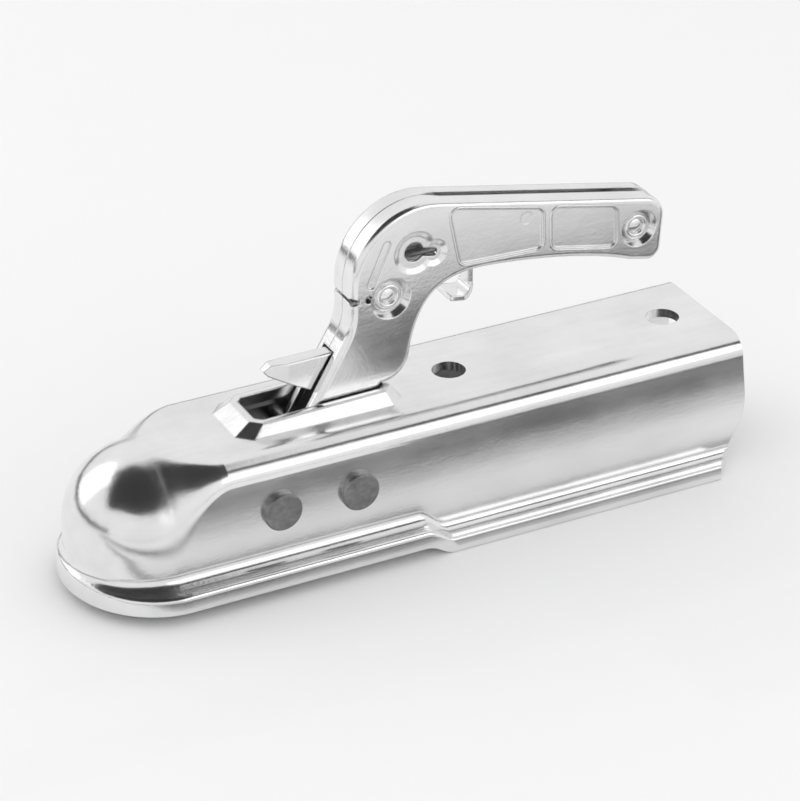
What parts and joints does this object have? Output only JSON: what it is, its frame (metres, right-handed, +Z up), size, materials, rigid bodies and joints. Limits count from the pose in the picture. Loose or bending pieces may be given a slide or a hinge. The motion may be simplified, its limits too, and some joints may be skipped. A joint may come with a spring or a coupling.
{
  "type": "trailer coupling head",
  "caption": "Pressed steel trailer coupling head for a 50 mm ball, with a two-half hand lever, a latch with beak and finger trigger, and a swinging ball jaw.",
  "frame": {"origin": "centre of the ball that the coupling grips", "axes": "+X back along the drawbar, +Z up, left is -Y"},
  "size_m": [0.2616, 0.0732, 0.1256],
  "materials": {
    "zinc": "bright zinc plating, slightly uneven",
    "pin_steel": "plain steel, faintly oiled",
    "spring_steel": "spring steel wire"
  },
  "bodies": {
    "base": {"housing": "zinc", "front_pin": "pin_steel", "rear_pin": "pin_steel", "front_sleeve_left": "zinc", "front_sleeve_right": "zinc", "rear_sleeve_left": "zinc", "rear_sleeve_right": "zinc", "jaw_spring_left": "spring_steel", "jaw_spring_right": "spring_steel", "lever_spring": "spring_steel"},
    "lever": {"lever_half_left": "zinc", "lever_half_right": "zinc", "lever_bush": "zinc", "latch_rivet": "zinc", "grip_rivet": "zinc", "grip_bush": "zinc", "latch_spring": "spring_steel"},
    "latch": {"latch": "zinc"},
    "jaw": {"ball_jaw": "pin_steel"}
  },
  "joints": [
    {"name": "lever_swing", "type": "hinge", "parent": "base", "child": "lever", "pos_m": [0.0704, 0, 0.0072], "axis": [0, -1, 0], "range_deg": [0, 33], "stiffness_Nm_per_rad": 1.5, "springref_deg": -34.38},
    {"name": "latch_swing", "type": "hinge", "parent": "lever", "child": "latch", "pos_m": [0.0939, 0, 0.0678], "axis": [0, -1, 0], "range_deg": [0, 16.5]},
    {"name": "jaw_swing", "type": "hinge", "parent": "base", "child": "jaw", "pos_m": [0.0403, 0, 0.0072], "axis": [0, -1, 0], "range_deg": [0, 11]}
  ],
  "couplings": [
    {"joint": "latch_swing", "follows": "lever_swing", "ratio": 0.5},
    {"joint": "jaw_swing", "follows": "lever_swing", "ratio": 0.3333}
  ]
}
